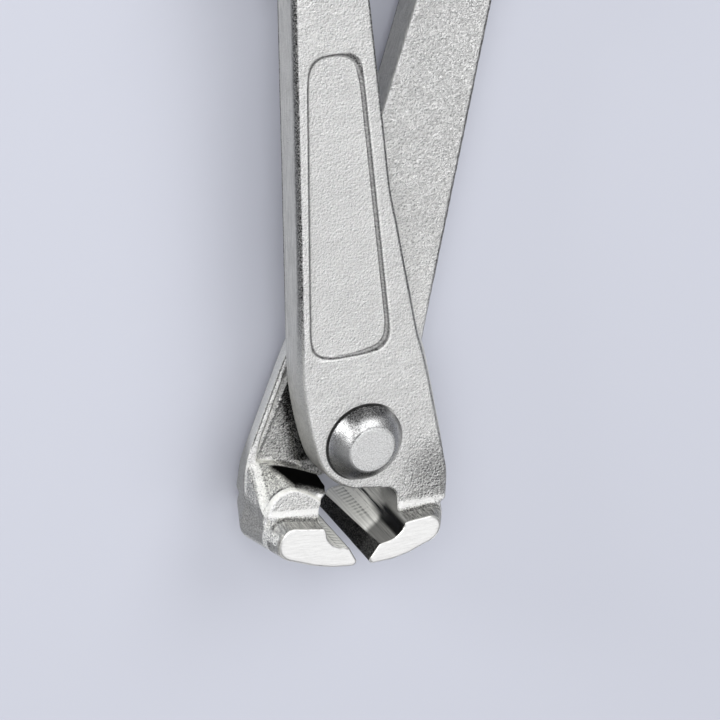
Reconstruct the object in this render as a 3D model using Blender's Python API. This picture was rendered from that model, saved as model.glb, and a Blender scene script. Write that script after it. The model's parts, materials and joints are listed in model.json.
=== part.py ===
# End-cutting nippers for steel fixers: two identical forged levers, one turned half round about
# the length of the tool, joined by one rivet, each with a dipped plastic sleeve on its handle.
# The tool lies flat: +Z along the rivet, +Y from the jaws to the handles, jaws slightly open.

import math

import bmesh
import bpy
from mathutils import Matrix, Vector

MM = 0.001

# Joint
LEVER_THICKNESS = 9.4 * MM
LAP_GAP = 0.3 * MM
REST_HALF_ANGLE = math.radians(2.79)
RIVET_RADIUS = 5.6 * MM
RIVET_BORE_CLEARANCE = 0.25 * MM
RIVET_HEAD_RADIUS = 9.1 * MM
RIVET_FLAT_RADIUS = 5.45 * MM
RIVET_HEAD_HEIGHT = 3.7 * MM
RIVET_FOOT_HEIGHT = 0.25 * MM
RIVET_SEAT_GAP = 0.25 * MM

# Plate round the rivet, and the bar above it
PLATE_RADIUS = 11.8 * MM
PLATE_EDGE_ROUND = 0.9 * MM
OUTER_EDGE_DRAFT = 0.5 * MM
INNER_EDGE_DRAFT = 1.0 * MM
HEAD_DRAFT = 3.2 * MM
CHEEK_DRAFT_LOSS = 1.7 * MM
HEAD_DRAFT_FROM_Y = 40.0 * MM
HEAD_DRAFT_FULL_Y = 18.0 * MM
CHEEK_FROM_Y = -7.0 * MM
CHEEK_FULL_Y = -19.0 * MM
PLATE_CORNER_DEGREES = 228.9
PLATE_CORNER_SWEEP_HALF = 28.9
BLANK_LENGTH = 118.0 * MM
OUTER_EDGE_FOOT = -15.1 * MM
OUTER_EDGE_SLOPE = -0.0553
BLANK_END_WIDTH = 16.1 * MM
WEB_BEND_X = 5.0 * MM
WEB_BEND_Y = 57.6 * MM
OUTER_SIDE_X = -2.0 * MM
SHARP_CORNER_X = -2.3 * MM
ROUNDING_FADE_LENGTH = 6.7 * MM
ROUNDING_FADE_FROM_Y = -5.0 * MM
ROUNDING_FADE_FULL_Y = -10.0 * MM
ROUNDING_FADE_SHARE = 0.9
FLANK_X = 5.0 * MM

# Jaw
JAW_WIDTH = 29.0 * MM
EDGE_DISTANCE = 27.9 * MM
BEVEL_DEPTH = 3.8 * MM
BEVEL_SET_BACK = 2.6 * MM
TIP_LAND = 0.9 * MM
THROAT_HALF_WIDTH = 9.3 * MM
HOLLOW_RADIUS = 5.0 * MM
STEP_FILLET = 2.0 * MM
JAW_FACE_ROUND = 0.35 * MM
SHOULDER_HEIGHT = 8.0 * MM
RAMP_SINK = 1.4 * MM
FLANK_LEAN = 0.26
FRONT_FLANK_LEAN = 0.34
CHEEK_LEAN = 0.22
STEP_OFFSET = 1.2 * MM
SOLE_LEAN = 0.07
FLANK_ROOT_X = 8.0 * MM
FLANK_FULL_X = 20.0 * MM
SOLE_ROOT = (5.0 * MM, -21.0 * MM)
SOLE_FULL = (19.0 * MM, -26.0 * MM)
STEP_WALL_LOW_Y = -22.0 * MM
STEP_WALL_HIGH_Y = -19.0 * MM

# Recesses
PANEL_DEPTH = 0.5 * MM
PANEL_WALL = 0.65 * MM
RELIEF_DEPTH = 1.6 * MM

# Handle and sleeve
HANDLE_LENGTH = 268.0 * MM
HANDLE_SPREAD = 19.0 * MM
HANDLE_BOW = 1.6 * MM
TANG_WIDTH = 13.6 * MM
TANG_THICKNESS = 7.8 * MM
TANG_CORNER = 3.2 * MM
TANG_START = 107.0 * MM
SET_END = 148.0 * MM
SLEEVE_START = 112.0 * MM
SLEEVE_WALL = 2.2 * MM
SLEEVE_GAP = 0.3 * MM
SLEEVE_LIP = 0.7 * MM
SLEEVE_SWELL = 0.7 * MM
SLEEVE_LIP_LENGTH = 2.0 * MM
SLEEVE_LIP_FADE = 3.0 * MM
BORE_NARROWS_AFTER = 6.0 * MM
BORE_NARROW_BY = 18.0 * MM
BAR_WIDTH_EASE = 0.4 * MM
BAR_THICKNESS_EASE = 1.8 * MM

CURVE_TOLERANCE = 0.02 * MM
BITE = 1.0 * MM


def clear_scene():
    for obj in list(bpy.data.objects):
        bpy.data.objects.remove(obj, do_unlink=True)


def material(name, colour, roughness, metallic):
    made = bpy.data.materials.new(name)
    made.use_nodes = True
    shader = made.node_tree.nodes["Principled BSDF"]
    shader.inputs["Base Color"].default_value = (*colour, 1.0)
    shader.inputs["Roughness"].default_value = roughness
    shader.inputs["Metallic"].default_value = metallic
    return made


def share(value, start, end):
    """How far a value is from start to end, kept between 0 and 1."""
    return min(1.0, max(0.0, (value - start) / (end - start)))


def rounded(corners, steps_each=None):
    """The outline through these (x, y, radius) corners, in millimetres, with each one rounded by an arc."""
    points = []
    count = len(corners)
    for i, (x, y, radius) in enumerate(corners):
        here = Vector((x, y)) * MM
        radius = radius * MM
        if radius <= 0:
            points.append(here)
            continue
        before = (Vector(corners[i - 1][:2]) * MM - here).normalized()
        after = (Vector(corners[(i + 1) % count][:2]) * MM - here).normalized()
        half = before.angle(after) / 2
        centre = here + (before + after).normalized() * radius / math.sin(half)
        start = here + before * radius / math.tan(half) - centre
        end = here + after * radius / math.tan(half) - centre
        sweep = start.angle_signed(end)
        step = 2 * math.acos(1 - CURVE_TOLERANCE / radius)
        steps = steps_each or max(2, math.ceil(abs(sweep) / step))
        for k in range(steps + 1):
            turn = Matrix.Rotation(-sweep * k / steps, 2)
            points.append(centre + turn @ start)
    return points


def inset(points, amount):
    """Each point moved inwards on a counter-clockwise outline; amount is a length or a function of it."""
    moved = []
    for i, here in enumerate(points):
        back = (here - points[i - 1]).normalized()
        ahead = (points[(i + 1) % len(points)] - here).normalized()
        along = (back + ahead).normalized()
        inward = Vector((-along.y, along.x))
        depth = amount(here) if callable(amount) else amount
        moved.append(here + inward * depth)
    return moved


def at_height(points, z):
    return [Vector((p.x, p.y, z)) for p in points]


def loft(name, loops, hidden=False):
    """A closed solid through loops that have the same number of points, capped at both ends."""
    mesh = bmesh.new()
    rings = [[mesh.verts.new(p) for p in loop] for loop in loops]
    count = len(rings[0])
    for low, high in zip(rings, rings[1:]):
        for i in range(count):
            j = (i + 1) % count
            mesh.faces.new((low[i], low[j], high[j], high[i]))
    mesh.faces.new(list(reversed(rings[0])))
    mesh.faces.new(rings[-1])
    bmesh.ops.recalc_face_normals(mesh, faces=mesh.faces)
    return add_object(name, mesh, hidden)


def add_object(name, mesh, hidden=False):
    data = bpy.data.meshes.new(name)
    mesh.to_mesh(data)
    mesh.free()
    obj = bpy.data.objects.new(name, data)
    bpy.context.scene.collection.objects.link(obj)
    obj.hide_render = hidden
    if hidden:
        obj.display_type = "WIRE"
    return obj


def apply_boolean(target, tool, operation):
    modifier = target.modifiers.new(tool.name, "BOOLEAN")
    modifier.object = tool
    modifier.operation = operation
    graph = bpy.context.evaluated_depsgraph_get()
    result = bpy.data.meshes.new_from_object(target.evaluated_get(graph))
    target.modifiers.clear()
    target.data = result
    bpy.data.objects.remove(tool, do_unlink=True)


def prism(name, points, low, high):
    return loft(name, [at_height(points, low), at_height(points, high)], hidden=True)


def outer_edge(y):
    """The bar's outer side at y, at the lap plane."""
    return OUTER_EDGE_FOOT + OUTER_EDGE_SLOPE * y


def inner_edge(y):
    """The upper bar's inner side at y: it runs straight from the web's bend to the bar's end."""
    end = outer_edge(BLANK_LENGTH) + BLANK_END_WIDTH
    return end + (WEB_BEND_X - end) * (BLANK_LENGTH - y) / (BLANK_LENGTH - WEB_BEND_Y)


def lean_of(point):
    """How far the side leans in from the lap face to the front face: slight on the bar, more on the head."""
    if point.x < OUTER_SIDE_X:
        return OUTER_EDGE_DRAFT
    head = share(point.y, HEAD_DRAFT_FROM_Y, HEAD_DRAFT_FULL_Y)
    cheek = share(point.y, CHEEK_FROM_Y, CHEEK_FULL_Y)
    return INNER_EDGE_DRAFT + (HEAD_DRAFT - INNER_EDGE_DRAFT) * head - CHEEK_DRAFT_LOSS * cheek


def rounding_left(point):
    """The plate's rounded edge fades out where its circle runs into the throat."""
    if point.x > FLANK_X:
        return 1.0
    below = share(point.y, ROUNDING_FADE_FROM_Y, ROUNDING_FADE_FULL_Y)
    beside = share(point.x, SHARP_CORNER_X - ROUNDING_FADE_LENGTH, SHARP_CORNER_X)
    return 1 - ROUNDING_FADE_SHARE * below * beside


def make_blank():
    """The flat part of the lever: the plate round the rivet and the tapering bar, with rounded edges."""
    top = BLANK_LENGTH
    plate = PLATE_RADIUS / MM
    corner = math.radians(PLATE_CORNER_DEGREES)
    reach = plate / math.cos(math.radians(PLATE_CORNER_SWEEP_HALF))
    outline = rounded([
        (inner_edge(top) / MM, top / MM, 0),
        (outer_edge(top) / MM, top / MM, 0),
        (-15.55, 8.2, 86),
        (reach * math.cos(corner), reach * math.sin(corner), plate),
        (SHARP_CORNER_X / MM, -11.57, 0),
        (-2.0, -14.5, 0),
        (5.0, -21.5, 0),
        (19.5, -21.5, 0),
        (23.1, -19.4, 2.5),
        (24.5, -9.4, 22),
        (17.8, 18.0, 40),
        (14.2, 26.0, 30),
        (WEB_BEND_X / MM, WEB_BEND_Y / MM, 90),
    ])
    low = LAP_GAP / 2
    edge = PLATE_EDGE_ROUND
    loops = [at_height(inset(outline, edge / 2), low), at_height(outline, low + edge / 2)]
    for angle in (0, 30, 60, 90):
        turn = math.radians(angle)
        depth = edge * (1 - math.cos(turn))
        height = LEVER_THICKNESS - edge * (1 - math.sin(turn))
        moved = inset(outline, lambda p: (lean_of(p) + depth) * rounding_left(p))
        loops.append(at_height(moved, height))
    return loft("front_lever", loops)


def leaning(points, z):
    """The head's outline at a height: its flank and its sole lean in on both sides of the lap plane."""
    lean = FLANK_LEAN * abs(z)
    if z > 0:
        lean = FRONT_FLANK_LEAN * z + CHEEK_LEAN * max(0.0, z - LEVER_THICKNESS)
    moved = []
    for p in points:
        out = share(p.x, FLANK_ROOT_X, FLANK_FULL_X)
        below = share(p.x, SOLE_ROOT[0], SOLE_FULL[0]) * share(p.y, SOLE_ROOT[1], SOLE_FULL[1])
        moved.append(Vector((p.x - lean * out, p.y + SOLE_LEAN * abs(z) * below)))
    return moved


def jaw_outline():
    """The jaw seen along the rivet, at the plane between the levers where it is widest."""
    reach = EDGE_DISTANCE / MM
    return rounded([
        (-1.5, -reach, 0),
        (0, -reach, 0),
        (TIP_LAND / MM, -reach - 1.0, 0),
        (6.0, -reach - 0.95, 20),
        (13.0, -reach - 0.5, 20),
        (23.2, -reach + 1.2, 3.8),
        (24.5, -18.9, 3.2),
        (9.3, -19.6, 0),
        (-1.5, -20.8, 0),
    ])


def jaw_level(outline, z):
    """The jaw's outline at a height, with its upper wall flaring into the face of the plate."""
    over = max(0.0, abs(z) - LEVER_THICKNESS)
    flare = STEP_OFFSET if z < 0 else 0.0
    if over < STEP_FILLET:
        flare += STEP_FILLET - math.sqrt(STEP_FILLET ** 2 - (STEP_FILLET - over) ** 2)
    raised = [Vector((p.x, p.y + flare * share(p.y, STEP_WALL_LOW_Y, STEP_WALL_HIGH_Y))) for p in outline]
    return leaning(raised, z)


def make_jaw_core():
    outline = jaw_outline()
    half = JAW_WIDTH / 2
    fillet = [LEVER_THICKNESS + STEP_FILLET * part for part in (0.0, 0.1, 0.35, 1.0)]
    heights = [0.5 * MM, *fillet, half - JAW_FACE_ROUND]
    loops = [at_height(inset(jaw_level(outline, -half), JAW_FACE_ROUND), -half)]
    loops += [at_height(jaw_level(outline, -z), -z) for z in reversed(heights)]
    loops += [at_height(jaw_level(outline, z), z) for z in heights]
    loops += [at_height(inset(jaw_level(outline, half), JAW_FACE_ROUND), half)]
    return loft("jaw_core", loops, hidden=True)


def make_shoulder():
    """The block behind the lap face that carries the jaw past the other lever's plate."""
    foot = rounded([
        (7.0, -25.2, 0),
        (18.0, -25.2, 0),
        (23.4, -19.0, 2),
        (22.6, -8.4, 1.5),
        (17.4, -8.7, 1.6),
        (12.4, -9.8, 9),
        (6.0, -12.0, 0),
    ], 4)
    top = rounded([
        (7.0, -25.2, 0),
        (18.0, -25.2, 0),
        (21.4, -19.0, 2),
        (20.4, -13.8, 1.5),
        (16.9, -10.3, 1.6),
        (12.4, -10.9, 9),
        (6.0, -13.0, 0),
    ], 4)
    return loft(
        "shoulder",
        [
            at_height(inset(top, 1.1 * MM), -SHOULDER_HEIGHT),
            at_height(inset(top, 0.3 * MM), 0.4 * MM - SHOULDER_HEIGHT),
            at_height(top, 1.2 * MM - SHOULDER_HEIGHT),
            at_height(foot, 0),
            at_height(foot, LAP_GAP / 2 + RELIEF_DEPTH + 0.4 * BITE),
        ],
        hidden=True,
    )


def make_ramp():
    """The slope that climbs beside the flank from the end of the rim to the jaw."""
    foot = rounded([
        (14.0, -25.4, 0),
        (18.0, -25.4, 0),
        (23.0, -19.4, 2),
        (23.8, -8.2, 0.8),
        (21.9, -7.9, 0.8),
        (14.0, -9.2, 0),
    ], 4)
    top = rounded([
        (14.0, -25.4, 0),
        (18.0, -25.4, 0),
        (21.9, -20.0, 2),
        (22.0, -17.6, 0.4),
        (21.4, -16.6, 0.4),
        (14.0, -14.8, 0),
    ], 4)
    sunk = [Vector((p.x - RAMP_SINK, p.y)) for p in foot]
    return loft(
        "ramp",
        [
            at_height(top, -SHOULDER_HEIGHT - 0.4 * MM),
            at_height(foot, -0.1 * MM),
            at_height(foot, LAP_GAP / 2 + 0.4 * BITE),
            at_height(sunk, LAP_GAP / 2 + RELIEF_DEPTH + 0.7 * BITE),
        ],
        hidden=True,
    )


def make_jaw_seat():
    """The round-topped land behind the shoulder, level with the other lever's far face."""
    outline = rounded([
        (5.0, -24.6, 0),
        (18.0, -24.6, 0),
        (24.2, -17.5, 1.2),
        (22.4, -10.2, 5.5),
        (14.6, -11.3, 14),
        (5.0, -16.3, 0),
    ])
    top = LEVER_THICKNESS
    return loft(
        "jaw_seat",
        [
            at_height(inset(leaning(outline, -top), 0.9 * MM), -top),
            at_height(inset(leaning(outline, -top), 0.3 * MM), 0.3 * MM - top),
            at_height(leaning(outline, -top), 0.9 * MM - top),
            at_height(leaning(outline, -0.6 * top), -0.4 * top),
        ],
        hidden=True,
    )


def cut_throat(lever):
    """The eye between the jaws, the ground hollow and the bevel down to the cutting edge."""
    reach = EDGE_DISTANCE / MM
    wall = THROAT_HALF_WIDTH / MM
    bevel_y = BEVEL_DEPTH / MM - reach
    eye = rounded([
        (-30.0, -reach - 6.0, 0),
        (0.0, -reach - 6.0, 0),
        (0.0, -reach, 0),
        (BEVEL_SET_BACK / MM, bevel_y, 0),
        (wall, bevel_y + 1.2, HOLLOW_RADIUS / MM),
        (wall - 0.6, -13.25, 3.4),
        (-2.5, -11.53, 0),
        (-9.0, -10.9, 0),
        (-30.0, -16.0, 0),
    ])
    apply_boolean(lever, prism("eye", eye, -JAW_WIDTH, JAW_WIDTH), "DIFFERENCE")


def cut_panel(lever):
    """The shallow recessed panel on the outer face of the bar."""
    panel = rounded([
        (-14.0, 21.4, 3.2),
        (5.6, 22.2, 4.2),
        (-5.2, 92.0, 4.2),
        (-17.4, 91.6, 3.6),
    ])
    low = LEVER_THICKNESS - PANEL_DEPTH
    slope = PANEL_WALL / PANEL_DEPTH
    floor = at_height(inset(panel, PANEL_WALL), low)
    mouth = at_height(inset(panel, -slope * BITE), low + PANEL_DEPTH + BITE)
    apply_boolean(lever, loft("panel", [floor, mouth], hidden=True), "DIFFERENCE")


def cut_relief(lever):
    """The shallow pocket in the lap face, which leaves a round boss and a raised rim."""
    pocket = rounded([
        (9.0, -11.6, 1.4),
        (21.9, -10.2, 1.4),
        (21.1, -2.6, 6),
        (17.0, 15.0, 20),
        (11.6, 27.2, 1.4),
        (8.0, 26.0, 1.4),
        (12.9, 8.0, 10),
        (12.9, -4.0, 10),
    ])
    low = LAP_GAP / 2
    mouth = at_height(inset(pocket, -RELIEF_DEPTH / 2), low - BITE)
    floor = at_height(inset(pocket, RELIEF_DEPTH / 2), low + RELIEF_DEPTH)
    apply_boolean(lever, loft("relief", [mouth, floor], hidden=True), "DIFFERENCE")


def circle(radius, z, count=64):
    return [
        Vector((radius * math.cos(2 * math.pi * k / count), radius * math.sin(2 * math.pi * k / count), z))
        for k in range(count)
    ]


def cut_bore(lever):
    radius = RIVET_RADIUS + RIVET_BORE_CLEARANCE
    bore = loft("bore", [circle(radius, -BITE), circle(radius, LEVER_THICKNESS + BITE)], hidden=True)
    apply_boolean(lever, bore, "DIFFERENCE")


def handle_centre(y):
    """The middle of the handle at y: outwards in plan, and set over from the lever's plane to the tool's."""
    start = Vector(((outer_edge(TANG_START) + inner_edge(TANG_START)) / 2, TANG_START))
    along = (y - start.y) / (HANDLE_LENGTH - start.y)
    x = start.x - HANDLE_SPREAD * along - HANDLE_BOW * math.sin(math.pi * along)
    over = share(y, start.y, SET_END)
    smooth = over * over * (3 - 2 * over)
    z = (LEVER_THICKNESS + LAP_GAP / 2) / 2 * (1 - smooth)
    return Vector((x, y, z))


def handle_ring(y, width, thickness, corner, sides=5):
    """A rounded rectangle across the handle at y."""
    centre = handle_centre(y)
    step = 0.5 * MM
    along = (handle_centre(y + step) - handle_centre(y - step)).normalized()
    across = along.cross(Vector((0, 0, 1))).normalized()
    through = across.cross(along).normalized()
    ring = []
    for quarter in range(4):
        sx = 1 if quarter in (0, 3) else -1
        sz = 1 if quarter in (0, 1) else -1
        cx = sx * (width / 2 - corner)
        cz = sz * (thickness / 2 - corner)
        for k in range(sides):
            angle = math.radians(90 * (quarter + k / (sides - 1)))
            u = cx + corner * math.cos(angle)
            v = cz + corner * math.sin(angle)
            ring.append(centre + across * u + through * v)
    return ring


def stations(first, last, count):
    return [first + (last - first) * k / (count - 1) for k in range(count)]


def make_tang():
    last = HANDLE_LENGTH - 3 * MM
    rings = [handle_ring(y, TANG_WIDTH, TANG_THICKNESS, TANG_CORNER) for y in stations(TANG_START, last, 24)]
    for back, drop in ((1 * MM, 2 * MM), (0, 4.6 * MM)):
        corner = TANG_CORNER - drop / 2
        rings.append(handle_ring(HANDLE_LENGTH - back, TANG_WIDTH - drop, TANG_THICKNESS - drop, corner))
    return loft("tang", rings, hidden=True)


def make_lever(steel):
    lever = make_blank()
    cut_relief(lever)
    for block in (make_shoulder(), make_ramp(), make_jaw_seat(), make_jaw_core(), make_tang()):
        apply_boolean(lever, block, "UNION")
    cut_throat(lever)
    cut_panel(lever)
    cut_bore(lever)
    lever.data.materials.append(steel)
    return lever


def sleeve_bore(y):
    """Width, thickness and corner inside the sleeve at y: round the bar's end first, then round the tang."""
    along = share(y, BLANK_LENGTH + BORE_NARROWS_AFTER, BLANK_LENGTH + BORE_NARROW_BY)
    middle = handle_centre(y).x
    wide = 2 * max(inner_edge(y) - middle, middle - outer_edge(y)) + BAR_WIDTH_EASE
    thick = LEVER_THICKNESS + BAR_THICKNESS_EASE
    width = wide + (TANG_WIDTH - wide) * along + 2 * SLEEVE_GAP
    thickness = thick + (TANG_THICKNESS - thick) * along + 2 * SLEEVE_GAP
    corner = PLATE_EDGE_ROUND + (TANG_CORNER - PLATE_EDGE_ROUND) * along
    return width, thickness, corner


def sleeve_skin(y):
    """The same outside the sleeve, with a lip at its mouth and a slight swell along the hand."""
    width, thickness, corner = sleeve_bore(y)
    lip_end = SLEEVE_START + SLEEVE_LIP_LENGTH
    lip = SLEEVE_LIP * (1 - share(y, lip_end, lip_end + SLEEVE_LIP_FADE))
    swell = SLEEVE_SWELL * math.sin(math.pi * share(y, BLANK_LENGTH, HANDLE_LENGTH))
    grow = SLEEVE_WALL + lip + swell
    return width + 2 * grow, thickness + 2 * grow, corner + grow


def make_sleeve(plastic):
    """The dipped sleeve: a closed-end tube that follows the handle."""
    last = HANDLE_LENGTH - 2 * MM
    floor = HANDLE_LENGTH + SLEEVE_GAP
    levels = stations(SLEEVE_START, last, 24)
    bore = [handle_ring(y, *sleeve_bore(y)) for y in levels]
    bore.append(handle_ring(floor, TANG_WIDTH - 3 * MM, TANG_THICKNESS - 3 * MM, TANG_CORNER - 1.5 * MM))
    skin = [handle_ring(y, *sleeve_skin(y)) for y in levels]
    width, thickness, corner = sleeve_skin(last)
    cap = floor + SLEEVE_WALL - last
    for degrees in (25, 50, 75, 90):
        turn = math.radians(degrees)
        drop = cap * (1 - math.cos(turn))
        end = last + cap * math.sin(turn)
        skin.append(handle_ring(end, width - 2 * drop, thickness - 2 * drop, max(corner - drop, 0.2 * MM)))
    sleeve = loft("front_grip", [*reversed(bore), *skin])
    sleeve.data.materials.append(plastic)
    return sleeve


def make_rivet(steel):
    """A shank with a domed head at each end; each dome is part of a ball, cut flat on top."""
    face = LEVER_THICKNESS + RIVET_SEAT_GAP
    spread = RIVET_HEAD_RADIUS ** 2 - RIVET_FLAT_RADIUS ** 2
    drop = (spread - RIVET_HEAD_HEIGHT ** 2) / (2 * RIVET_HEAD_HEIGHT)
    ball = math.hypot(RIVET_HEAD_RADIUS, drop)
    first = math.atan2(drop, RIVET_HEAD_RADIUS)
    last = math.acos(RIVET_FLAT_RADIUS / ball)
    head = [(RIVET_RADIUS, face), (RIVET_HEAD_RADIUS, face)]
    for part in (0.0, 0.2, 0.4, 0.6, 0.8, 1.0):
        turn = first + (last - first) * part
        head.append((ball * math.cos(turn), face + RIVET_FOOT_HEIGHT + ball * math.sin(turn) - drop))
    loops = [circle(radius, -z) for radius, z in reversed(head)]
    loops += [circle(radius, z) for radius, z in head]
    rivet = loft("rivet", loops)
    rivet.data.materials.append(steel)
    return rivet


def shade(obj):
    obj.data.shade_smooth()
    obj.data.set_sharp_from_angle(angle=math.radians(32))


def place(lever, sleeve, axis, turned, angle):
    lever.parent = axis
    lever.rotation_euler = (0, math.pi if turned else 0, angle)
    sleeve.parent = lever


def stand_on_origin(axis):
    """Moves the rivet's axis so that the origin lies under the middle of the tool."""
    bpy.context.view_layer.update()
    corners = [o.matrix_world @ v.co for o in bpy.data.objects if o.type == "MESH" for v in o.data.vertices]
    low = [min(c[i] for c in corners) for i in range(3)]
    high = [max(c[i] for c in corners) for i in range(3)]
    axis.location = (-(low[0] + high[0]) / 2, -(low[1] + high[1]) / 2, -low[2])
    print("rivet axis at", [round(value / MM, 3) for value in axis.location], "mm")
    print("size", [round((b - a) / MM, 2) for a, b in zip(low, high)], "mm")


def build():
    clear_scene()
    plated = material("zinc_plated_steel", (0.62, 0.62, 0.61), 0.38, 1.0)
    bright = material("polished_steel", (0.66, 0.66, 0.65), 0.22, 1.0)
    plastic = material("dipped_plastic", (0.045, 0.048, 0.052), 0.5, 0.0)
    axis = bpy.data.objects.new("rivet_axis", None)
    bpy.context.scene.collection.objects.link(axis)

    front_lever = make_lever(plated)
    front_grip = make_sleeve(plastic)
    back_lever = bpy.data.objects.new("back_lever", front_lever.data)
    back_grip = bpy.data.objects.new("back_grip", front_grip.data)
    for obj in (back_lever, back_grip):
        bpy.context.scene.collection.objects.link(obj)
    place(front_lever, front_grip, axis, False, REST_HALF_ANGLE)
    place(back_lever, back_grip, axis, True, -REST_HALF_ANGLE)

    rivet = make_rivet(bright)
    rivet.parent = axis
    for obj in (front_lever, front_grip, rivet):
        shade(obj)
    stand_on_origin(axis)


build()
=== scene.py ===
# End-cutting nippers: two zinc-plated forged levers, a domed rivet and two dipped grips.

import json
import math
from types import SimpleNamespace

import bpy
from mathutils import Matrix, Vector


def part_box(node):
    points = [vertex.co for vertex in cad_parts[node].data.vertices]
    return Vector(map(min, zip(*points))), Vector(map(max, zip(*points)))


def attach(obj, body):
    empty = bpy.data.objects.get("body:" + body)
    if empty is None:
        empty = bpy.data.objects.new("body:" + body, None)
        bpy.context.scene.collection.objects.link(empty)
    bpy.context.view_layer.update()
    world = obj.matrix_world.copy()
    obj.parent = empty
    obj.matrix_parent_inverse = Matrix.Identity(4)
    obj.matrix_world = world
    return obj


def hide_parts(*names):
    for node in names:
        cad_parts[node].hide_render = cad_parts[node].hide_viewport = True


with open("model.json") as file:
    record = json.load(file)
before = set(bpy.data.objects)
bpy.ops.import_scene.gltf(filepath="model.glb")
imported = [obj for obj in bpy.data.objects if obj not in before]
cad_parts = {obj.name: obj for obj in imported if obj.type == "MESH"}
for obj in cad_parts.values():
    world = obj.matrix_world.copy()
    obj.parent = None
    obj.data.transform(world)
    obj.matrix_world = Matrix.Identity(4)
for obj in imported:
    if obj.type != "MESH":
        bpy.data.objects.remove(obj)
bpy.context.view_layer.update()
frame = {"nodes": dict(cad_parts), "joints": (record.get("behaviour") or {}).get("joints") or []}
nodes = frame["nodes"]
mm = 0.001
hundredth = 0.01 * mm  # the unit of the finishes' heights
weldDistance = 0.001 * mm
hinge = frame["joints"][0]
pivot = Vector(hinge["pos_m"])
restTurn = math.radians(2.79)  # each lever stands this far open in the photograph
print("frame loaded, hinge at", [round(c, 4) for c in pivot])


def deselectAll():
    if bpy.context.object and bpy.context.object.mode != "OBJECT":
        bpy.ops.object.mode_set(mode="OBJECT")
    bpy.ops.object.select_all(action="DESELECT")


def makeActive(piece):
    deselectAll()
    piece.select_set(True)
    bpy.context.view_layer.objects.active = piece


def applyModifier(piece, kind, **settings):
    makeActive(piece)
    modifier = piece.modifiers.new(kind.lower(), kind)
    for key, value in settings.items():
        setattr(modifier, key, value)
    bpy.ops.object.modifier_apply(modifier=modifier.name)


def copyNode(node, name):
    piece = nodes[node].copy()
    piece.data = nodes[node].data.copy()
    piece.name = name
    for key in [k for k in piece.keys() if k.startswith("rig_")]:
        del piece[key]
    piece.parent = None
    bpy.context.scene.collection.objects.link(piece)
    makeActive(piece)
    bpy.ops.object.mode_set(mode="EDIT")
    bpy.ops.mesh.select_all(action="SELECT")
    bpy.ops.mesh.remove_doubles(threshold=weldDistance)
    bpy.ops.object.mode_set(mode="OBJECT")
    return piece


def finishPiece(piece, finish, node, body):
    makeActive(piece)
    bpy.ops.object.shade_smooth()
    piece.data.materials.clear()
    piece.data.materials.append(finish)
    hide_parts(node)
    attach(piece, body)
    print(piece.name, "has", sum(len(p.vertices) - 2 for p in piece.data.polygons), "triangles")


# Camera, from the photograph

photoCamera = {
    "frame": 720,  # pixels, wide and high
    "pivotPixel": (347.49, 424.2),  # where the rivet's axis crosses the lap plane
    "pixelsPerMetre": 4400,
    "azimuth": -26.83,
    "elevation": 23.75,
    "roll": 5.42,
    "distance": 0.5568,
    "lens": 122.5,
    "clipStart": 0.01,
}


def makeCamera():
    c = photoCamera
    turn, lift, roll = (math.radians(c[k]) for k in ("azimuth", "elevation", "roll"))
    back = Vector((math.sin(turn) * math.cos(lift), math.sin(lift), math.cos(turn) * math.cos(lift)))
    side = Vector((0, 1, 0)).cross(back).normalized()
    up = back.cross(side)
    right = side * math.cos(roll) + up * math.sin(roll)
    top = up * math.cos(roll) - side * math.sin(roll)
    aside = (c["pivotPixel"][0] - c["frame"] / 2) / c["pixelsPerMetre"]
    above = (c["frame"] / 2 - c["pivotPixel"][1]) / c["pixelsPerMetre"]
    bpy.ops.object.camera_add()
    camera = bpy.context.object
    camera.data.lens = c["lens"]
    camera.data.clip_start = c["clipStart"]
    camera.rotation_mode = "QUATERNION"
    camera.rotation_quaternion = Matrix((right, top, back)).transposed().to_quaternion()
    camera.location = pivot + back * c["distance"] - right * aside - top * above
    bpy.context.scene.camera = camera
    print("camera at", [round(v, 3) for v in camera.location])


# Shader maths: a value wraps a socket, so that masks and mixes read as plain sums

class Value:
    def __init__(self, shader, socket):
        self.shader = shader
        self.socket = socket

    def maths(self, operation, *others, turned=False):
        terms = [*others, self] if turned else [self, *others]
        settings = {"operation": operation}
        return self.shader.node("ShaderNodeMath", settings, dict(enumerate(terms)))

    def __add__(self, other):
        return self.maths("ADD", other)

    __radd__ = __add__

    def __sub__(self, other):
        return self.maths("SUBTRACT", other)

    def __rsub__(self, other):
        return self.maths("SUBTRACT", other, turned=True)

    def __mul__(self, other):
        return self.maths("MULTIPLY", other)

    __rmul__ = __mul__

    def __truediv__(self, other):
        return self.maths("DIVIDE", other)

    def __neg__(self):
        return 0.0 - self

    def __abs__(self):
        return self.maths("ABSOLUTE")

    def lesser(self, other):
        return self.maths("MINIMUM", other)

    def greater(self, other):
        return self.maths("MAXIMUM", other)

    def rise(self, start, end):  # 0 at start, 1 at end, smooth between
        settings = {"interpolation_type": "SMOOTHSTEP"}
        return self.shader.node("ShaderNodeMapRange", settings, {0: self, 1: start, 2: end, 3: 0.0, 4: 1.0})

    def between(self, low, high, soft):  # 1 inside, 0 outside
        return self.rise(low - soft, low + soft) * (1 - self.rise(high - soft, high + soft))

    def toward(self, other, share):  # mixed with another value
        return self + (other - self) * share


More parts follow.
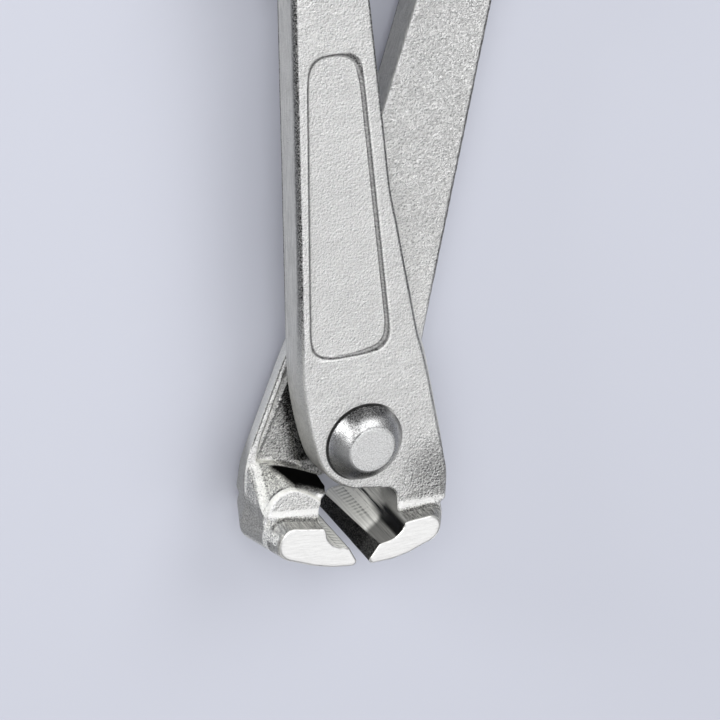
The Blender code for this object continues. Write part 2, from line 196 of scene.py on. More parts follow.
class Shader:
    def __init__(self, name):
        self.material = bpy.data.materials.new(name)
        self.material.use_nodes = True
        self.tree = self.material.node_tree
        self.tree.nodes.clear()

    def node(self, kind, settings=None, sockets=None, out=0):
        made = self.tree.nodes.new(kind)
        for key, value in (settings or {}).items():
            setattr(made, key, value)
        for key, value in (sockets or {}).items():
            if isinstance(value, Value):
                self.tree.links.new(value.socket, made.inputs[key])
            else:
                made.inputs[key].default_value = value
        return Value(self, made.outputs[out]) if made.outputs else None

    def noise(self, vector, scale, detail=3.0, roughness=0.55, distortion=0.0):
        sockets = {"Vector": vector, "Scale": scale, "Detail": detail}
        sockets.update({"Roughness": roughness, "Distortion": distortion})
        return self.node("ShaderNodeTexNoise", {}, sockets)

    def stretched(self, vector, scale):
        return self.node("ShaderNodeVectorMath", {"operation": "MULTIPLY"}, {0: vector, 1: scale})

    def turned(self, vector, angles):
        return self.node("ShaderNodeMapping", {}, {"Vector": vector, "Rotation": angles})

    def axes(self, vector):
        return [self.node("ShaderNodeSeparateXYZ", {}, {0: vector}, out=i) for i in range(3)]

    def grey(self, level, tint=(1.0, 1.0, 1.0)):
        channels = {i: level * share for i, share in enumerate(tint)}
        return self.node("ShaderNodeCombineColor", {}, channels)

    def bump(self, height, distance):  # the height is in units of the distance
        return self.node("ShaderNodeBump", {}, {"Strength": 1.0, "Distance": distance, "Height": height})

    def surface(self, colour, roughness, metallic, normal):
        sockets = {"Base Color": colour, "Roughness": roughness, "Metallic": metallic, "Normal": normal}
        self.output(self.node("ShaderNodeBsdfPrincipled", {}, sockets))
        return self.material

    def output(self, shaded):
        self.node("ShaderNodeOutputMaterial", {}, {"Surface": shaded})


# Steel

steelGrey = {  # a grey from 0 to 1, and how much the grain and the painted light and shade of the dimples add to it
    "plate": (0.745, 0.6, 1.5),
    # painted shade: the sides darker than the faces
    "side": (0.60, 0.3, 0.0),
    "web": (0.90, 0.8, 2.4),
    "flank": (0.74, 0.8, 0.0),
    "head": (0.58, 1.2, 2.2),
    "land": (0.95, 3.2, 0.0),
    # painted shade: the dark line where the land drops into the pocket
    "landLine": (0.15, 0.0, 0.0),
    # painted shade: dark lines on the lap side's rounded edges
    "rimLine": (0.24, 1.2, 0.0),
    # painted shadow of the other lever in the pocket
    "pocketDark": (0.04, 0.7, 0.0),
    # painted shade at the pocket's end
    "pocketEnd": (0.25, 1.6, 0.0),
    "ramp": (0.60, 1.8, 2.0),
    "seat": (0.80, 1.0, 2.4),
    # painted shade: a dark line along the arch
    "archLine": (0.14, 1.0, 0.0),
    # painted highlights: the first on less rough streaks, the second on edges and the fillet
    "glossy": (1.05, 3.0, 0.0),
    "bright": (1.15, 1.5, 0.0),
    # painted shade on the step wall, darker on the front lever than on the back one
    "frontStepWall": (0.32, 0.8, 0.0),
    "backStepWall": (0.52, 0.8, 0.0),
    # painted shade: a dark line along the step's fillet
    "filletLine": (0.10, 0.0, 0.0),
    "sideRamp": (0.50, 2.6, 0.0),
    "patch": (0.80, 3.5, 0.0),
    # painted shadow: near black, for the wall under the other lever's plate
    "crevice": (0.003, 0.0, 0.0),
    # painted dark reflection on the face's rounded inner edge
    "rim": (0.36, 1.6, 0.0),
    # painted dark reflection along the face's outer rounded edge
    "edgeBand": (0.56, 0.8, 0.0),
    # painted shadow round the rivet
    "rivetLine": (0.06, 0.0, 0.0),
    # painted shade on the panel's wall
    "panelWall": (0.18, 0.8, 0.0),
    "ground": (0.67, 0.0, 0.0),
    "hollowWall": (0.24, 0.2, 0.0),
    "bevel": (0.05, 0.7, 0.0),
}

# the rear's grey stands for a painted reflection
hollowGreys = {  # a grey, and how much the grinding lines add to it
    "rear": (0.84, 1.0),
    "streak": (0.30, 1.4),
    "besideWall": (0.66, 0.6),
    "front": (0.17, 0.15),
}

darkest = 0.003
lightest = 0.97

steelRoughness = {
    "forged": 0.42,
    "side": 0.5,
    "ground": 0.34,
    "hollow": 0.24,
    "bevel": 0.5,
    "crevice": 0.9,
    "glossy": 0.28,
    "least": 0.12,
}

steelHeight = {  # hundredths of a millimetre
    "sand": 42.0,
    "fine": 12.0,
    "lumps": 40.0,
    "slanted": 150.0,
    "leatherOnWeb": 8.0,
    "leatherOnHead": 50.0,
    "wrinkle": 6.0,
    "grinding": 6.0,
    "hollowLines": 5.0,
    "bevelSand": 24.0,
    "wallLines": 30.0,
    "wallSand": 12.0,
}

steelPatterns = {  # scale in each millimetre, detail, roughness, distortion
    "sand": (2.7, 3.0, 0.62, 0.0),
    "fine": (5.2, 2.0, 0.6, 0.0),
    "leather": (1.15, 4.0, 0.6, 0.9),
    "lumps": (0.35, 3.0, 0.5, 0.0),
    "stain": (0.09, 3.0, 0.6, 0.0),
}

steelStrokes = {  # turn in degrees, scale along x, y and z, detail, roughness
    "slanted": (38, (0.7, 1.7, 1.0), 3.0, 0.6),
    "grindAcross": (0, (0.35, 5.0, 1.0), 2.0, 0.6),
    "hollowLines": (0, (2.2, 2.2, 0.06), 3.0, 0.65),
    "drawn": (0, (3.0, 0.12, 3.0), 3.0, 0.6),
    "wallLines": (0, (3.2, 0.4, 0.3), 3.0, 0.6),
}

dimples = {
    "pattern": (1.8, 4.0, 0.65, 0.5),  # as in steelPatterns
    "shift": 0.14,  # millimetres between a dimple's painted lit side and its painted shaded side
}

leverShape = {  # millimetres in the lever's own frame
    "jawWidth": 29.0,
    "jawFace": 14.1,  # from the lap plane to the ground faces
    "throatX": (9.6, 9.9),
    "throatY": (-13.1, -12.7),
    "bevelLine": (2.6, -24.1),  # where the bevel meets the hollow
    "bevelTaper": 1.3,  # how much narrower the front lever's bevel is at the rear
    "panel": [(-14.0, 21.4), (5.6, 22.2), (-5.2, 92.0), (-17.4, 91.6)],
    "panelRounding": 9.5,
    "panelWall": (0.35, 0.55),  # the painted shade's width on the near side, and what the far side adds
    "webStart": (28.0, 40.0),
    "outerSide": (-9.0, -7.0),
    "edgeBand": (5.6, 1.4),  # where the painted dark reflection starts beside the rivet, and how much higher it starts along the bar
    "rivetLine": (8.7, 9.55),  # radii of the shadow round the rivet's head
    "pocketEdge": (18.7, 0.3),  # its x beside the rivet, and how much less for each millimetre up
    "pocketShade": (14.0, 0.31),  # the same for the shadow painted in it, but more for each millimetre up
    "creviceFloor": (-7.2, 1.9, 14.6),  # its z, how steeply it rises, and from which x
    "seat": (-9.8, -8.2),
    "stepWall": (10.4, 14.0),
}


def ownFrame(shader, turned):
    # the lever's own millimetres and normal: the rivet's axis is the middle,
    # the jaw lies at +x -y and the outer face at +z
    turn = (0, math.pi, -restTurn) if turned else (0, 0, -restTurn)
    coordinates = shader.node("ShaderNodeTexCoord", {}, {}, out=3)
    moved = shader.node("ShaderNodeVectorMath", {"operation": "SUBTRACT"}, {0: coordinates, 1: pivot})
    size = (1 / mm, 1 / mm, 1 / mm)
    place = shader.node("ShaderNodeMapping", {}, {"Vector": moved, "Rotation": turn, "Scale": size})
    facing = shader.turned(shader.node("ShaderNodeTexCoord", {}, {}, out=1), turn)
    at = SimpleNamespace(place=place, turned=turned)
    at.x, at.y, at.z = shader.axes(place)
    at.nx, at.ny, at.nz = shader.axes(facing)
    return at


def outside(x, y, corners, rounding):
    # the distance outside a polygon with softened corners, below zero inside
    distance = None
    for i, (ax, ay) in enumerate(corners):
        bx, by = corners[(i + 1) % len(corners)]
        length = math.hypot(bx - ax, by - ay)
        nx, ny = (by - ay) / length, (ax - bx) / length
        side = x * nx + y * ny - (ax * nx + ay * ny)
        distance = side if distance is None else distance.maths("SMOOTH_MAX", side, rounding)
    return distance


def forgedPatterns(s, at):
    p = SimpleNamespace()
    for name, settings in steelPatterns.items():
        setattr(p, name, s.noise(at.place, *settings))
    for name, (degrees, scale, *settings) in steelStrokes.items():
        place = s.turned(at.place, (0, 0, math.radians(degrees))) if degrees else at.place
        setattr(p, name, s.noise(s.stretched(place, scale), 1.0, *settings))
    # painted light and shade on dimples: the pattern less a copy moved a little aside, so one side of each
    # dimple comes out light and the other dark, the same way round on both levers
    shift = dimples["shift"]
    aside = (shift if at.turned else -shift, shift, 0.0)
    beside = s.node("ShaderNodeVectorMath", {"operation": "ADD"}, {0: at.place, 1: aside})
    p.relief = s.noise(at.place, *dimples["pattern"]) - s.noise(beside, *dimples["pattern"])
    p.grain = p.sand - 0.5
    p.ragged = 2.4 * p.grain + 1.2 * (p.leather - 0.5)  # moves a zone's edge by up to half a millimetre
    p.wrinkle = 1 - abs(p.leather - 0.5).rise(0.0, 0.035)
    return p


def jawZones(at, p, m):
    # the ground faces, the hollow, its bevel, and the step between the jaw and the plate, with the step's
    # painted shade and highlight
    x, y, z = at.x, at.y, at.z
    faceStart = leverShape["jawFace"]
    m.groundFace = abs(z).rise(faceStart, faceStart + 0.2) * (1 - y.rise(-17.5, -16.5))
    pits = (p.sand + 0.3 * (p.leather - 0.5)).rise(0.58, 0.64)
    m.pitted = m.groundFace * (1 - (y - 0.35 * x).rise(-36.0, -33.0)) * pits
    behindEdge = (1 - x.rise(*leverShape["throatX"])) * x.rise(-0.3, 0.0)
    m.throat = behindEdge * (1 - y.rise(*leverShape["throatY"])) * (1 - abs(at.nz).rise(0.3, 0.5))
    m.notThroat = 1 - m.throat
    bevelX, bevelY = leverShape["bevelLine"]
    if not at.turned:
        bevelY = bevelY - leverShape["bevelTaper"] * (0.5 - z / leverShape["jawWidth"])
    m.bevel = m.throat * (1 - (y - bevelY).rise(-0.08, 0.08)) * (1 - x.rise(bevelX + 0.4, bevelX + 0.6))
    m.stepWall = abs(z).between(*leverShape["stepWall"], 0.2) * at.ny.rise(0.4, 0.7) * m.notThroat
    besideThroat = x.rise(9.0, 9.8)
    # painted shade: a dark line in the crease of the step, beside the throat
    m.filletLine = abs(z).between(10.0, 10.9, 0.2) * besideThroat * (1 - y.rise(-17.0, -16.6)) * m.notThroat
    # the fillet, which later gets a painted highlight
    m.fillet = (y + 1.1 * p.ragged).rise(-18.9, -18.3) * (1 - (y + 1.3 * p.ragged).rise(-17.7, -16.5))
    m.fillet = m.fillet * z.between(9.2, 10.1, 0.2) * besideThroat * (1 - at.nx.rise(0.3, 0.6))
    m.patch = x.between(19.8, 21.6, 0.3) * (y + p.ragged).between(-22.4, -19.9, 0.3)
    m.patch = m.patch * (abs(z) + p.ragged).between(9.8, 13.4, 0.3)


def faceZones(at, p, m):
    # the outer face with its panel, its edges, and the bar's sides, with the shade, shadow and highlights
    # painted on them
    x, y, z = at.x, at.y, at.z
    m.flat = abs(at.nz).rise(0.55, 0.9)
    m.outerSide = 1 - x.rise(*leverShape["outerSide"])
    m.upper = y.rise(14.0, 40.0)
    # painted dark reflection in a band along the rounded outer edge of the face
    bandLow, bandRise = leverShape["edgeBand"]
    bandStart = bandLow + bandRise * m.upper
    m.edgeBand = (z + p.ragged).rise(bandStart - 0.5, bandStart + 0.9) * (1 - at.nz.rise(0.80, 0.95))
    m.edgeBand = m.edgeBand * m.outerSide
    # painted dark reflection along the rounded edge between the face and the inner side, darker higher up
    # the bar
    m.rim = abs(at.nz).between(0.2, 0.955, 0.03) * z.rise(8.0, 8.6) * (1 - z.rise(9.7, 9.9))
    m.rim = m.rim * (1 - m.outerSide) * (1 - y.between(-40.0, -15.0, 0.5))
    m.lowRight = x.rise(4.0, 18.0) * (1 - y.rise(-10.0, 4.0)) * z.rise(2.0, 4.0)
    radius = (x * x + y * y).maths("SQRT")
    # painted shadow round the rivet's head, on its left and upper side
    m.rivetLine = radius.between(*leverShape["rivetLine"], 0.1) * m.flat * z.rise(9.0, 9.2)
    m.rivetLine = m.rivetLine * (y * 0.5 - x).rise(-5.0, 1.0)
    panel = outside(x, y, leverShape["panel"], leverShape["panelRounding"])
    farSide = (x + 0.1 * y + 2.0).rise(-4.0, 4.0)
    wallNear, wallFar = leverShape["panelWall"]
    wallWidth = wallNear + wallFar * farSide * (1 - 0.6 * y.rise(86.0, 90.0))
    onFace = z.rise(8.0, 8.4)
    # painted shade on the panel's wall, a painted light line just inside it, and a painted highlight along
    # its outer edge
    m.panelWall = (panel + wallWidth).rise(-0.1, 0.1) * (1 - panel.rise(0.0, 0.2)) * onFace
    m.panelLight = panel.between(-0.65, -0.25, 0.1)
    m.panelEdge = panel.between(0.25, 0.6, 0.15) * onFace


def lapZones(at, p, m):
    # the side toward the other lever: web, land, pocket, ramp, crevice, seat and arch, with the shade,
    # shadows and highlights painted on them
    x, y, z, nx = at.x, at.y, at.z, at.nx
    lapSide = (1 - z.rise(2.2, 2.8)) * z.rise(-14.0, -13.6)
    above = y.rise(*leverShape["webStart"])
    m.web = lapSide * above * m.flat
    m.head = lapSide * (1 - above) * x.rise(-12.0, -6.0) * m.notThroat
    m.flank = nx.rise(0.72, 0.9) * (1 - above) * x.rise(10.0, 14.0)
    edgeX, edgeSlope = leverShape["pocketEdge"]
    inland = x - edgeX + edgeSlope * y  # from the pocket's edge outwards
    m.land = m.head * y.rise(-9.4, -8.8) * (inland + 0.3 * p.ragged).rise(-0.1, 0.3)
    m.land = m.land * (1 - nx.rise(0.80, 0.92))
    # painted shade: a dark line where the land drops into the pocket
    m.landLine = m.head * y.rise(-8.0, -6.0) * (inland + 0.7 * p.ragged).between(-0.6, -0.05, 0.15)
    # painted shade: dark lines along the rounded edges of the lap side
    lapRim = abs(nx).between(0.45, 0.86, 0.06) * z.between(-0.1, 0.9, 0.1)
    outerLine = m.outerSide * (-nx).rise(0.06, 0.2) * z.between(-0.1, 1.2, 0.1) * y.rise(20.0, 40.0)
    m.rimLine = lapRim * (y.rise(-6.0, -3.0) * x.rise(9.0, 12.0) + m.outerSide).lesser(1.0)
    m.rimLine = m.rimLine.greater(outerLine)
    pocket = m.head * y.rise(-9.0, -8.6) * (1 - inland.rise(-0.1, 0.3))
    # painted shadow of the other lever over the pocket, darkest next to that lever
    shadeX, shadeSlope = leverShape["pocketShade"]
    m.pocketDark = pocket * (1 - (x - shadeX - shadeSlope * y + 1.2 * p.ragged).rise(-0.6, 2.6))
    # painted shade on the wall at the pocket's end and on the lip beside it
    m.pocketEnd = m.head * at.ny.rise(0.3, 0.6) * z.rise(-0.5, 0.0) * (1 - x.rise(13.5, 16.0))
    lip = m.head * m.flat * z.between(-0.5, 0.8, 0.1) * y.between(-13.0, -8.4, 0.3)
    m.pocketEnd = (m.pocketEnd + 0.9 * lip * (1 - x.rise(16.5, 19.0))).lesser(1.0)
    floorZ, floorSlope, floorX = leverShape["creviceFloor"]
    creviceEnd = floorZ + floorSlope * (x - floorX).greater(0.0)
    # painted shadow: the wall under the other lever's plate is painted near black
    m.crevice = m.head * at.ny.rise(0.2, 0.5) * (1 - z.rise(-0.7, 0.1))
    m.crevice = m.crevice * (z - creviceEnd + 1.4 * p.ragged).rise(-2.2, 0.8)
    m.crevice = m.crevice * x.between(2.0, 18.4, 0.7) * y.rise(-13.6, -13.0)
    m.ramp = m.head * (1 - z.rise(-1.0, -0.4)) * (1 - m.crevice) * (1 - nx.rise(0.80, 0.95))
    outwards = nx.rise(0.5, 0.7)
    m.sideRamp = outwards * (1 - z.rise(0.0, 0.5)) * (z - 0.55 * y + p.ragged).rise(2.6, 3.6)
    m.sideRamp = m.sideRamp * y.between(-16.5, -6.0, 0.6)
    m.seat = m.head * z.between(*leverShape["seat"], 0.2)
    # painted shade: a dark line along the arch above the step
    m.archLine = m.head * (z + 0.4 * p.ragged).between(-8.0, -7.3, 0.2) * y.between(-17.0, -10.0, 0.5)
    m.archLine = m.archLine * x.rise(16.5, 18.0)
    # painted highlights on a crest, a line along the flank and a streak on the head, which are also less
    # rough
    crest = m.head * (y + 0.6 * p.ragged).between(-8.9, -7.9, 0.3)
    crest = crest * x.between(16.8, 21.0, 0.8) * z.rise(0.0, 0.5)
    m.flankLine = outwards * (z + 0.3 * p.ragged).between(-0.4, 0.3, 0.12) * y.between(-15.5, -6.5, 0.6)
    m.streak = m.head * (x + 0.3 * p.ragged).between(20.9, 22.5, 0.25) * (1 - y.rise(-5.5, -4.0))
    m.streak = m.streak * y.rise(-17.6, -16.8) * (1 - z.rise(0.1, 0.4)) * (1 - nx.rise(0.9, 0.97))
    m.glossy = (m.streak + crest + m.flankLine).lesser(1.0)
    # painted highlights on the arch's edge, the seat's end and the fillet
    archEdge = m.head * z.between(-9.15, -7.9, 0.15) * y.between(-16.0, -10.0, 0.5) * (1 - m.crevice)
    seatEnd = m.head * (y + 0.25 * p.ragged).between(-17.2, -15.9, 0.2) * z.between(-10.0, -9.0, 0.2)
    m.bright = (archEdge + seatEnd + m.fillet).lesser(1.0)


def forgedHeight(p, m):
    h = steelHeight
    height = h["sand"] * p.sand + h["fine"] * p.fine + h["lumps"] * p.lumps
    height = height + h["slanted"] * p.slanted * m.lowRight - h["wrinkle"] * p.wrinkle * m.web
    height = height + h["leatherOnWeb"] * p.leather * m.web + h["leatherOnHead"] * p.leather * m.head
    height = height.toward(h["grinding"] * p.grindAcross, m.groundFace)
    height = height.toward(h["hollowLines"] * p.hollowLines, m.throat)
    height = height.toward(h["bevelSand"] * p.sand, m.bevel)
    height = height.toward(h["wallLines"] * p.wallLines + h["wallSand"] * p.sand, m.stepWall)
    return height.toward(0.0, m.crevice)


# a zone's grey, with its grain and its painted dimple light and shade
def shade(p, name):
    level, grain, dimple = steelGrey[name]
    if grain:
        level = level + grain * p.grain
    if dimple:
        level = level + dimple * p.relief
    return level


def hollowGrey(at, p):
    # bright and cross-lined at the rear, the brightness being a painted reflection, streaked toward the
    # wall, dark toward the front, near black in the front corner as painted shadow
    x, z = at.x, at.z
    lines = (1.2 + 2.6 * x.rise(4.8, 6.0)) * (p.hollowLines - 0.5)
    across = (z * 4.4 + 4.0 * p.lumps).maths("SINE") * x.between(3.4, 6.6, 0.7) * (1 - z.rise(-1.0, 3.0))
    lined = {name: grey + share * lines for name, (grey, share) in hollowGreys.items()}
    hollow = lined["rear"] + 0.3 * x.rise(5.4, 6.4) + 0.24 * across
    hollow = hollow.toward(lined["streak"], x.rise(7.3, 7.7))
    hollow = hollow.toward(lined["besideWall"], x.rise(8.0, 8.4))
    hollow = hollow.toward(lined["front"], (z + 0.6 * x).rise(7.5, 10.0))
    # the front corner gets the same near black painted shadow
    corner = x.between(6.8, 8.9, 0.4) * (z + 7.0 * lines).rise(-5.0, 7.0)
    hollow = hollow.toward(shade(p, "crevice"), corner)
    return hollow.toward(shade(p, "hollowWall"), x.rise(8.7, 9.0) * z.rise(-2.0, 2.0))


def forgedGrey(at, p, m):
    # each layer is a grey and where it lies, over the ones before it; several are painted shade, shadow or
    # highlights
    worn = p.leather - 0.5
    # painted shade on the step wall, lighter on the back lever than on the front one
    stepWall = "backStepWall" if at.turned else "frontStepWall"
    layers = [
        # the sides, painted darker than the faces as shade, the more on those facing +x, with drawn lines
        (shade(p, "side") - 0.12 * at.nx.rise(0.5, 0.8) + 0.5 * (p.drawn - 0.5), 1 - m.flat),
        # the web, its wrinkles painted darker as shade in their creases
        (shade(p, "web") + 0.3 * worn - 0.14 * p.wrinkle, m.web),
        (shade(p, "flank") - 0.38 * (1 - at.y.rise(-9.0, -2.0)), m.flank),
        (shade(p, "head") + 1.2 * worn, m.head * (1 - m.flank)),
        (shade(p, "land"), m.land),
        # painted shade where the land drops into the pocket
        (shade(p, "landLine"), 0.8 * m.landLine),
        # painted shade on the lap side's rounded edges
        (shade(p, "rimLine"), m.rimLine),
        # painted shadow in the pocket
        (shade(p, "pocketDark"), m.pocketDark),
        # painted shade at the pocket's end
        (shade(p, "pocketEnd"), m.pocketEnd),
        (shade(p, "ramp"), m.ramp * (1 - m.flank)),
        (shade(p, "seat"), m.seat),
        # painted shade along the arch
        (shade(p, "archLine"), 0.75 * m.archLine),
        # painted highlights, the first set also less rough
        (shade(p, "glossy"), m.glossy),
        (shade(p, "bright"), m.bright),
        (shade(p, stepWall) + 1.4 * (p.wallLines - 0.5), m.stepWall),
        # painted shade along the step's fillet
        (shade(p, "filletLine") + 1.8 * (p.sand - 0.42).greater(0.0), m.filletLine),
        (shade(p, "sideRamp"), m.sideRamp * (1 - m.flankLine)),
        (shade(p, "patch"), m.patch),
        # painted shadow in the crevice
        (shade(p, "crevice"), m.crevice),
        # painted dark reflection on the face's rounded inner edge
        (shade(p, "rim") - 0.18 * m.upper, m.rim),
        # painted dark reflection along the outer edge
        (shade(p, "edgeBand") - (0.44 - p.grain) * m.upper, 0.9 * m.edgeBand),
        # painted shadow round the rivet
        (shade(p, "rivetLine"), m.rivetLine),
        # painted shade on the panel's wall, with a painted light line
        (shade(p, "panelWall") + 0.2 * m.panelLight, m.panelWall),
    ]
    level = shade(p, "plate") + 0.10 * (p.stain - 0.5)
    # darker toward the lower right of the face, with slanted lines and stronger painted dimple light and
    # shade
    level = level - (0.17 + 0.5 * (p.slanted - 0.5) - 2.4 * p.relief) * m.lowRight * m.flat
    for grey, share in layers:
        level = level.toward(grey, share)
    # painted highlight along the panel's outer edge
    level = level + 0.12 * m.panelEdge
    ground = shade(p, "ground") + 0.3 * (p.grindAcross - 0.5) + 0.2 * (p.fine - 0.5) - 0.3 * m.pitted
    level = level.toward(ground, m.groundFace)
    level = level.toward(hollowGrey(at, p), m.throat)
    bevel = shade(p, "bevel") + 0.05 * at.z.rise(8.0, 10.0) + 0.6 * (p.fine - 0.5)
    return level.toward(bevel, m.bevel).greater(darkest).lesser(lightest)


def forgedRoughness(p, m):
    r = steelRoughness
    rough = r["forged"] + 0.25 * p.grain + 0.1 * (p.stain - 0.5)
    rough = rough.toward(r["side"] + 0.2 * p.grain, 1 - m.flat)
    rough = rough.toward(r["ground"] + 0.1 * (p.grindAcross - 0.5), m.groundFace)
    rough = rough.toward(r["hollow"], m.throat)
    rough = rough.toward(r["bevel"] + 0.2 * p.grain, m.bevel)
    return rough.toward(r["crevice"], m.crevice).toward(r["glossy"], m.glossy).greater(r["least"])


def forgedSteel(name, turned):
    # at is the lever's own frame, p holds the patterns and m the zones, from 0 outside to 1 inside
    s = Shader(name)
    at = ownFrame(s, turned)
    p = forgedPatterns(s, at)
    m = SimpleNamespace()
    jawZones(at, p, m)
    faceZones(at, p, m)
    lapZones(at, p, m)
    level = forgedGrey(at, p, m)
    colour = s.grey(level, (1.0, 0.995, 0.985 - 0.04 * (1 - m.flat)))
    metal = 1 - 0.95 * m.throat * (1 - m.bevel) - (0.6 * m.bright).greater(0.4 * m.streak)
    return s.surface(colour, forgedRoughness(p, m), metal, s.bump(forgedHeight(p, m), hundredth))


rivetGrey = {
    "dome": 0.46,
    "shaded": 0.10,  # on the dome's lower and right sides
    "dark": 0.16,  # painted dark reflection above the dome and between its two bright spots
    "top": 0.64,
}


def rivetSteel(name):
    s = Shader(name)
    at = ownFrame(s, False)
    x, y, z = at.x, at.y, at.z
    top = abs(at.nz).rise(0.975, 0.99) * abs(z).rise(12.5, 12.9)
    grain = s.noise(at.place, 3.4, 4.0, 0.65)
    broad = s.noise(at.place, 0.45, 3.0, 0.5)
    pocks = s.noise(at.place, 1.5, 3.0, 0.6)
    speckle = grain - 0.5
    # painted shade below and to the right, and painted dark reflections above the dome and between its
    # bright spots
    below = (speckle - x * 0.4 - y).rise(2.0, 8.4)
    beside = (x * 0.9 + y * 0.3 + speckle).rise(7.0, 8.4)
    beyond = (y + 3.0 * speckle).rise(6.4, 7.6) * (1 - z.rise(12.4, 13.0))
    gap = x.between(-5.2, -2.9, 0.6) * (y + 2.0 * speckle).rise(1.0, 3.0)
    level = rivetGrey["dome"] + (0.2 + 0.7 * y.rise(0.0, 3.0)) * speckle + 0.25 * (broad - 0.5)
    level = level.toward(rivetGrey["shaded"] + 0.4 * speckle, (below + beside).lesser(1.0))
    level = level.toward(rivetGrey["dark"] + 1.2 * speckle, (beyond + 0.9 * gap).lesser(1.0))
    level = level.toward(rivetGrey["top"] + 1.3 * speckle, top).greater(0.02)
    rough = (0.27 + 0.2 * speckle).toward(0.5, top)
    height = (6.0 * grain + 4.0 * pocks).toward(20.0 * grain, top)
    return s.surface(s.grey(level), rough, 1.0, s.bump(height, hundredth))


# Levers

leverLook = {
    "cutAt": 26 * mm,  # the tang ends this far inside its grip's mouth
    "voxel": 0.38 * mm,
    "smoothTurns": 3,
    "smoothShare": 0.5,
    "waveSize": 7 * mm,
    "waveHeight": 0.12 * mm,
}


def clouds(name, size):
    texture = bpy.data.textures.new(name, "CLOUDS")
    texture.noise_scale = size
    return texture


def wave(piece, texture, height):
    applyModifier(piece, "DISPLACE", texture=texture, texture_coords="LOCAL", strength=height, mid_level=0.5)


def soften(piece, look, waves):
    # a close and slightly uneven mesh of the piece's own solid
    applyModifier(piece, "REMESH", mode="VOXEL", voxel_size=look["voxel"])
    applyModifier(piece, "SMOOTH", factor=look["smoothShare"], iterations=look["smoothTurns"])
    wave(piece, waves, look["waveHeight"])


def cutTang(piece, grip):
    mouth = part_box(grip)[0][1]
    bpy.ops.object.mode_set(mode="EDIT")
    bpy.ops.mesh.select_all(action="SELECT")
    bpy.ops.mesh.bisect(plane_co=(0, mouth + leverLook["cutAt"], 0), plane_no=(0, 1, 0),
                        use_fill=True, clear_outer=True)
    bpy.ops.object.mode_set(mode="OBJECT")


def makeLever(node, grip, body, name, turned, waves):
    piece = copyNode(node, name)
    cutTang(piece, grip)
    soften(piece, leverLook, waves)
    finishPiece(piece, forgedSteel(name + " zinc", turned), node, body)


# Rivet

rivetLook = {
    "segments": 192,
    "headRadius": 9.1 * mm,
    "flatRadius": 5.45 * mm,
    "headHeight": 3.7 * mm,
    "footHeight": 0.25 * mm,
    "footLip": 0.12 * mm,
    "footCurve": 0.03 * mm,
    "neckRadius": 5.6 * mm,
    "domeRings": 18,
    "firstRing": 0.4,  # how far the dome's first ring is toward the second
    "flatEdge": ((0.985, 0.05 * mm), (0.955, 0.0)),  # shares of its radius, and how far below it
    "crownRings": 5,
    "crownShare": 0.95,
    "crownDrop": 0.06 * mm,
    "dent": 0.05 * mm,
    "dentSize": 2.2 * mm,
}


def headRings(face):
    # radius and height above the lap plane, from the shank out, up the dome and in over the flat
    r = rivetLook
    wide, flat, lip = r["headRadius"], r["flatRadius"], r["footLip"]
    drop = (wide ** 2 - flat ** 2 - r["headHeight"] ** 2) / (2 * r["headHeight"])
    ball = math.hypot(wide, drop)
    first = math.atan2(drop, wide)
    last = math.acos(flat / ball)
    foot = face + r["footHeight"]
    rings = [(wide - 2 * lip, face), (wide - lip, face + r["footCurve"]), (wide, face + lip)]
    for i in range(r["domeRings"]):
        turn = first + (last - first) * (i + r["firstRing"]) / r["domeRings"]
        rings.append((ball * math.cos(turn), foot + ball * math.sin(turn) - drop))
    top = foot + r["headHeight"]
    rings += [(flat * share, top - below) for share, below in r["flatEdge"]]
    for i in range(1, r["crownRings"]):
        inward = i / r["crownRings"]
        rings.append((flat * r["crownShare"] * (1 - inward), top - r["crownDrop"] * inward))
    return rings


def makeRivet():
    r = rivetLook
    bottom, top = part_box("rivet")
    face = (top[2] - bottom[2]) / 2 - r["headHeight"] - r["footHeight"]
    head = headRings(face)
    neck = [(r["neckRadius"], -face), (r["neckRadius"], face)]
    rings = [(radius, -z) for radius, z in reversed(head)] + neck + head
    deselectAll()
    radius, z = rings[0]
    bpy.ops.mesh.primitive_circle_add(vertices=r["segments"], radius=radius, fill_type="NGON",
                                      location=(pivot.x, pivot.y, pivot.z + z))
    piece = bpy.context.object
    piece.name = "rivetPiece"
    bpy.ops.object.transform_apply(location=True, rotation=True, scale=True)
    bpy.ops.object.mode_set(mode="EDIT")
    bpy.ops.mesh.select_mode(type="EDGE")
    bpy.ops.mesh.select_all(action="SELECT")
    for wide, high in rings[1:]:
        bpy.ops.mesh.extrude_edges_move(TRANSFORM_OT_translate={"value": (0, 0, high - z)})
        scale = wide / radius
        bpy.ops.transform.resize(value=(scale, scale, 1), center_override=(pivot.x, pivot.y, pivot.z + high))
        radius, z = wide, high
    bpy.ops.mesh.edge_face_add()
    bpy.ops.mesh.select_all(action="SELECT")
    bpy.ops.mesh.normals_make_consistent(inside=False)
    bpy.ops.object.mode_set(mode="OBJECT")
    wave(piece, clouds("hammer dents", r["dentSize"]), r["dent"])
    finishPiece(piece, rivetSteel("rivet finish"), "rivet", "front_half")


# Grips

gripLook = {
    "voxel": 0.55 * mm,
    "smoothTurns": 8,
    "smoothShare": 0.5,
    "waveHeight": 0.14 * mm,
}

plasticLook = {
    "grey": 0.022,
    "wornGrey": 0.010,  # what wear adds
    "tint": (0.94, 1.0, 1.08),
    "roughness": 0.42,
    "wornRoughness": 0.14,
    "grainScale": 1400.0,
    "wearScale": 60.0,
}


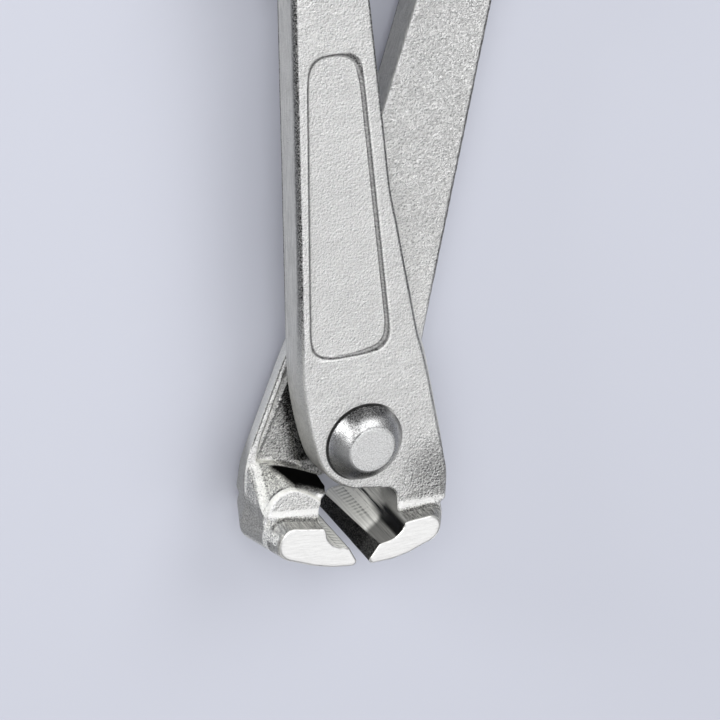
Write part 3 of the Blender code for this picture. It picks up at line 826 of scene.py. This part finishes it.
def dippedPlastic(name):
    s = Shader(name)
    look = plasticLook
    place = s.node("ShaderNodeTexCoord", {}, {}, out=3)
    grain = s.noise(place, look["grainScale"], 3.0, 0.6)
    wear = s.noise(place, look["wearScale"], 4.0, 0.6)
    colour = s.grey(look["grey"] + look["wornGrey"] * wear, look["tint"])
    roughness = look["roughness"] + look["wornRoughness"] * wear
    return s.surface(colour, roughness, 0.0, s.bump(grain, 2 * hundredth))


def makeGrip(node, body, name, waves, plastic):
    piece = copyNode(node, name)
    soften(piece, gripLook, waves)
    finishPiece(piece, plastic, node, body)


# Floor and light

studio = {
    "floor": (0.474, 0.486, 0.545),
    "floorSize": 6,
    "lampDistance": 1.8,  # metres from the rivet
    "lamps": {
        "above": {"from": (0.41, -0.40, 0.82), "size": 2.0, "power": 10.6},
        "leftStrip": {"from": (-0.84, 0.50, 0.22), "size": 0.45, "power": 9.0},
        "handleStrip": {"from": (0.34, 0.68, 0.65), "size": 1.0, "power": 9.5},
        "front": {"from": (-0.41, 0.40, 0.82), "size": 1.0, "power": 20.0},
    },
    "sky": (0.97, 0.98, 1.0, 1),
    "horizon": 0.10,
    "zenith": 0.72,
}


def makeFloor():
    bpy.ops.mesh.primitive_plane_add(size=studio["floorSize"], location=(0, 0, 0))
    floor = bpy.context.object
    floor.name = "floor"
    s = Shader("floor paint")
    s.output(s.node("ShaderNodeBsdfDiffuse", {}, {"Color": (*studio["floor"], 1)}))
    floor.data.materials.append(s.material)


def makeLamp(name, lamp):
    toward = Vector(lamp["from"]).normalized()
    bpy.ops.object.light_add(type="AREA", location=pivot + toward * studio["lampDistance"])
    made = bpy.context.object
    made.name = name
    made.data.size = lamp["size"]
    made.data.energy = lamp["power"]
    made.rotation_mode = "QUATERNION"
    made.rotation_quaternion = toward.to_track_quat("Z", "Y")


def makeWorld():
    # dim at the horizon and bright overhead, as in a tented studio
    world = bpy.data.worlds.new("studio")
    bpy.context.scene.world = world
    world.use_nodes = True
    tree = world.node_tree
    place = tree.nodes.new("ShaderNodeTexCoord")
    parts = tree.nodes.new("ShaderNodeSeparateXYZ")
    levels = tree.nodes.new("ShaderNodeMapRange")
    levels.inputs["To Min"].default_value = studio["horizon"]
    levels.inputs["To Max"].default_value = studio["zenith"]
    background = tree.nodes["Background"]
    background.inputs["Color"].default_value = studio["sky"]
    tree.links.new(place.outputs["Generated"], parts.inputs[0])
    tree.links.new(parts.outputs[2], levels.inputs["Value"])
    tree.links.new(levels.outputs[0], background.inputs["Strength"])


makeCamera()
makeFloor()
for lampName, lampLook in studio["lamps"].items():
    makeLamp(lampName, lampLook)
makeWorld()
print("studio made")
forging = clouds("forging waves", leverLook["waveSize"])
makeLever("front_lever", "front_grip", "front_half", "frontLever", False, forging)
makeLever("back_lever", "back_grip", "back_half", "backLever", True, forging)
makeRivet()
gripPlastic = dippedPlastic("dipped plastic")
makeGrip("front_grip", "front_half", "frontGrip", forging, gripPlastic)
makeGrip("back_grip", "back_half", "backGrip", forging, gripPlastic)
bpy.context.scene.view_settings.view_transform = "Standard"
